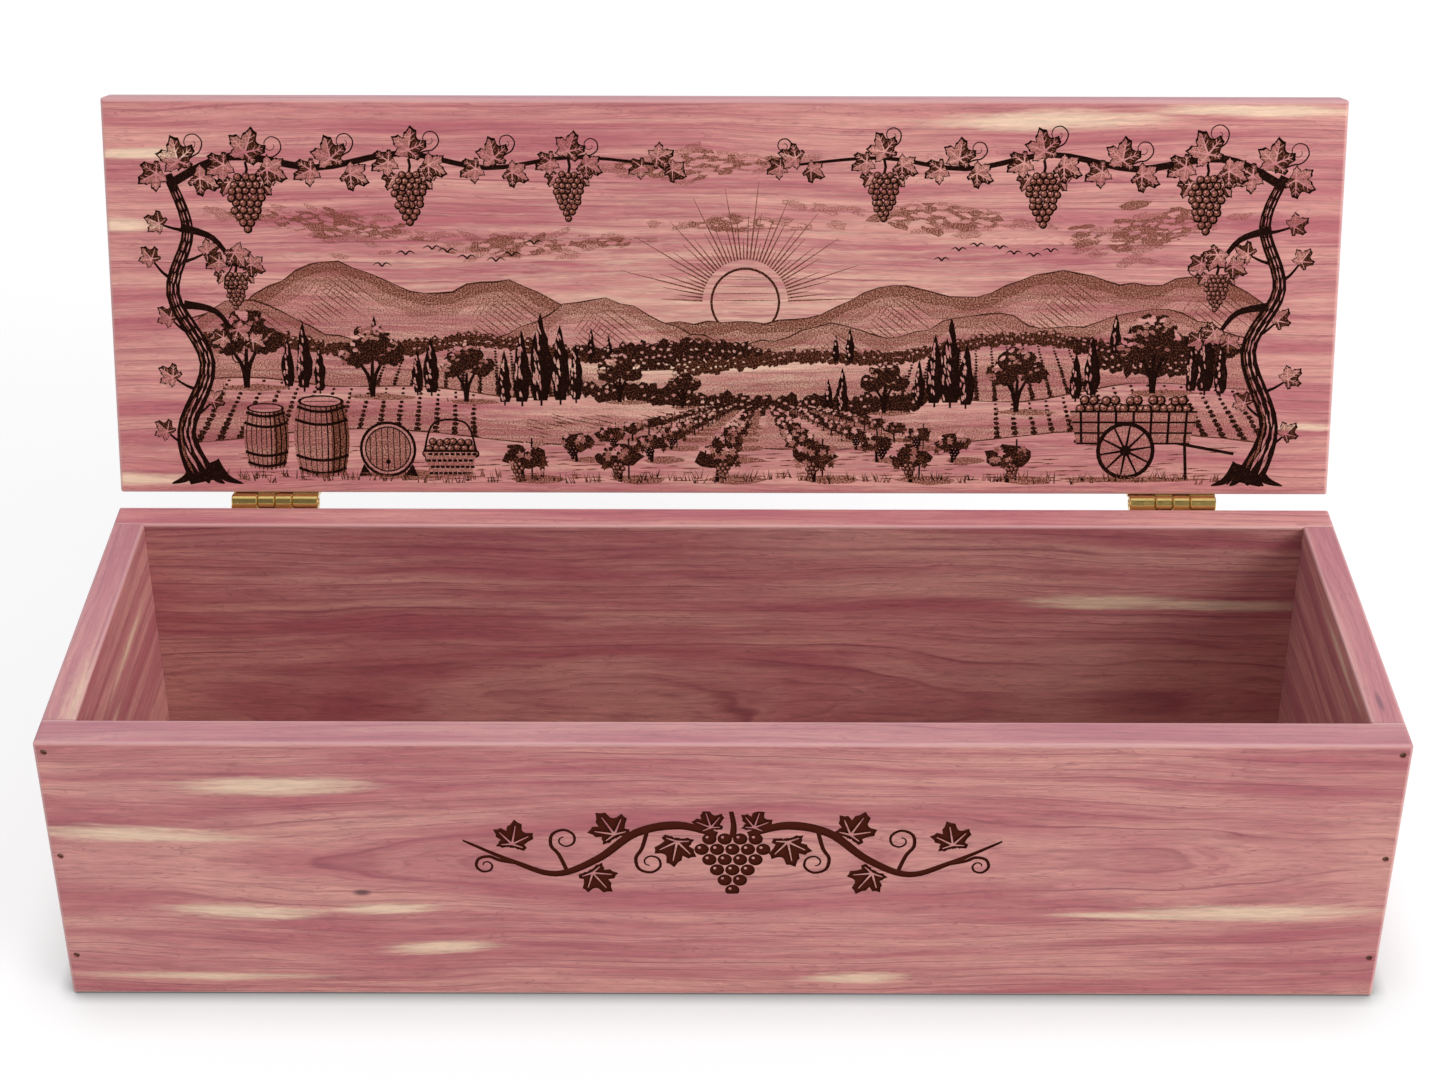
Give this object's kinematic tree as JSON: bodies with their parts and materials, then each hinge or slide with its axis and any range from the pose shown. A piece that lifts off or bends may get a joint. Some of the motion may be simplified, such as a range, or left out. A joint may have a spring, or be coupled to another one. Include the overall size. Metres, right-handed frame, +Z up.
{
  "type": "hinged wooden wine box",
  "caption": "Long open cedar box for one bottle with butted and bradded corners, a rebated bottom and a flat lid on two small brass butt hinges that stop it open.",
  "frame": {"origin": "centre of the box's underside, where it stands", "axes": "+X along the box to its right end as seen from the front, +Y from front to back, +Z up; the lid is at rest open, leaning back over +Y"},
  "size_m": [0.35, 0.1634, 0.1937],
  "materials": {
    "cedar_front": "aromatic red cedar, sanded, unvarnished, burnt ornament",
    "cedar_back": "aromatic red cedar, sanded, unvarnished",
    "cedar_ends": "aromatic red cedar, sanded, unvarnished",
    "cedar_bottom": "aromatic red cedar, sanded, unvarnished",
    "cedar_lid": "aromatic red cedar, sanded, unvarnished, burnt picture inside",
    "hinge_brass": "polished",
    "pin_brass": "polished",
    "screw_brass": "turned",
    "brad_steel": "dull bright steel"
  },
  "bodies": {
    "box": {"front_board": "cedar_front", "back_board": "cedar_back", "left_end_board": "cedar_ends", "right_end_board": "cedar_ends", "bottom_board": "cedar_bottom", "left_box_leaf": "hinge_brass", "right_box_leaf": "hinge_brass", "left_hinge_pin": "pin_brass", "right_hinge_pin": "pin_brass", "left_box_leaf_screws": "screw_brass", "right_box_leaf_screws": "screw_brass", "front_left_brads": "brad_steel", "front_right_brads": "brad_steel", "back_left_brads": "brad_steel", "back_right_brads": "brad_steel", "bottom_brads": "brad_steel"},
    "lid": {"lid_board": "cedar_lid", "left_lid_leaf": "hinge_brass", "right_lid_leaf": "hinge_brass", "left_lid_leaf_screws": "screw_brass", "right_lid_leaf_screws": "screw_brass"}
  },
  "joints": [
    {"name": "lid_hinge", "type": "hinge", "parent": "box", "child": "lid", "pos_m": [0, 0.06035, 0.08365], "axis": [1, 0, 0], "range_deg": [0, 108]}
  ]
}
